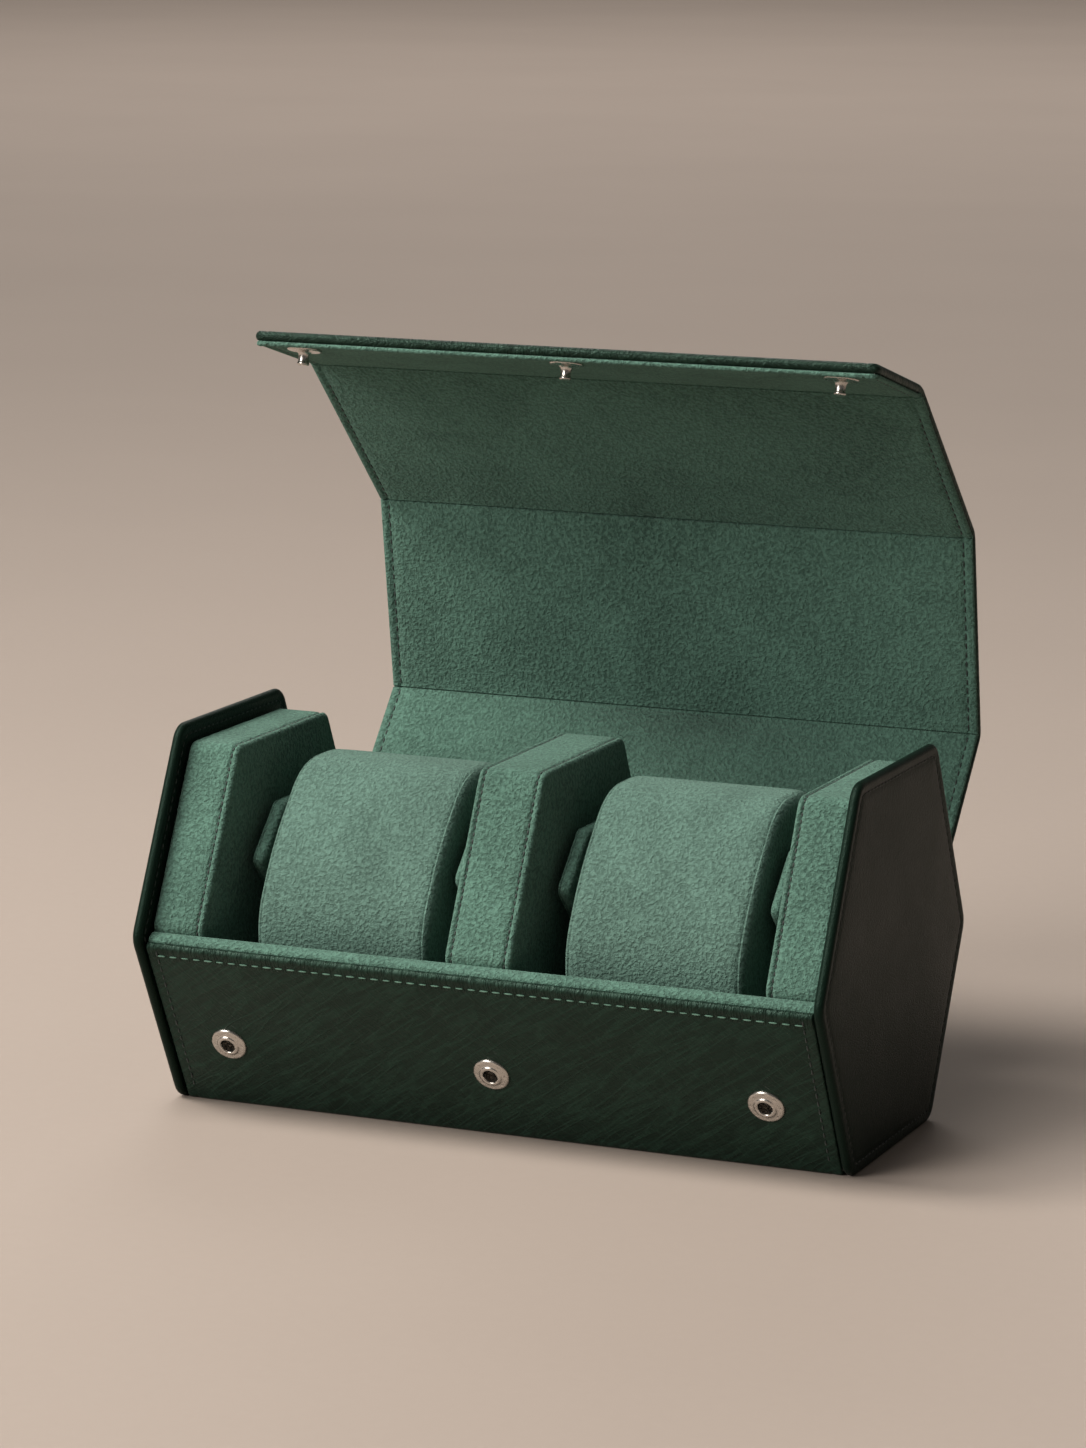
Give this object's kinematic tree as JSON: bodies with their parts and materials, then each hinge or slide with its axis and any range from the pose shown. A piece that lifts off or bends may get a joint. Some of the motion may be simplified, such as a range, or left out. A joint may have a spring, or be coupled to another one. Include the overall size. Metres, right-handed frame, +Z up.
{
  "type": "watch_storage_case",
  "caption": "Hexagonal leather watch case with suede pillows between padded ends, and a folding wrap lid of stiff panels that closes over the front with press studs.",
  "frame": {"origin": "centre of the underside", "axes": "x along the case to the right seen from the front, y from the front to the back, z up"},
  "size_m": [0.195, 0.1498, 0.206],
  "materials": {
    "green_leather": "fine cross grain, low sheen",
    "green_suede": "short nap suede",
    "pillow_suede": "short nap suede",
    "grey_board": "pressed board",
    "white_foam": "open cell foam",
    "snap_steel": "polished",
    "spring_wire": "drawn wire"
  },
  "bodies": {
    "case": {"end_cover_left": "green_leather", "end_cover_right": "green_leather", "end_board_left": "grey_board", "end_board_right": "grey_board", "end_facing_left": "green_leather", "end_facing_right": "green_leather", "wrap_cover": "green_leather", "front_board": "grey_board", "base_board": "grey_board", "back_board": "grey_board", "wrap_lining": "green_suede", "end_pad_cover_left": "green_suede", "end_pad_cover_right": "green_suede", "end_pad_core_left": "white_foam", "end_pad_core_right": "white_foam", "divider_cover": "green_suede", "divider_core": "white_foam", "snap_sockets": "snap_steel", "socket_springs": "spring_wire", "socket_posts": "snap_steel", "back_crease": "green_leather"},
    "lid_rear": {"lid_rear_cover": "green_leather", "lid_rear_board": "grey_board", "lid_rear_lining": "green_suede", "rear_crease": "green_leather"},
    "lid_top": {"lid_top_cover": "green_leather", "lid_top_board": "grey_board", "lid_top_lining": "green_suede", "front_crease": "green_leather"},
    "lid_front": {"lid_front_cover": "green_leather", "lid_front_board": "grey_board", "lid_front_lining": "green_suede", "flap_crease": "green_leather"},
    "flap": {"flap_cover": "green_leather", "flap_board": "grey_board", "flap_lining": "green_suede", "snap_studs": "snap_steel", "stud_posts": "snap_steel"},
    "pillow_left": {"pillow_cover_left": "pillow_suede", "pillow_core_left": "white_foam", "pillow_plates_left": "green_suede", "pillow_hubs_left": "green_suede"},
    "pillow_right": {"pillow_cover_right": "pillow_suede", "pillow_core_right": "white_foam", "pillow_plates_right": "green_suede", "pillow_hubs_right": "green_suede"}
  },
  "joints": [
    {"name": "lid_hinge", "type": "hinge", "parent": "case", "child": "lid_rear", "pos_m": [0, 0.05498, 0.04952], "axis": [-1, 0, 0], "range_deg": [-67.5, 40]},
    {"name": "rear_crease", "type": "hinge", "parent": "lid_rear", "child": "lid_top", "pos_m": [0, 0.09294, 0.09295], "axis": [-1, 0, 0], "range_deg": [-13.7, 45]},
    {"name": "front_crease", "type": "hinge", "parent": "lid_top", "child": "lid_front", "pos_m": [0, 0.08395, 0.15102], "axis": [-1, 0, 0], "range_deg": [-26.3, 35]},
    {"name": "flap_crease", "type": "hinge", "parent": "lid_front", "child": "flap", "pos_m": [0, 0.0372, 0.19593], "axis": [-1, 0, 0], "range_deg": [-24.6, 28]},
    {"name": "pillow_left_lift", "type": "slide", "parent": "case", "child": "pillow_left", "axis": [0, 0, 1], "range_m": [0, 0.1]},
    {"name": "pillow_right_lift", "type": "slide", "parent": "case", "child": "pillow_right", "axis": [0, 0, 1], "range_m": [0, 0.1]}
  ]
}
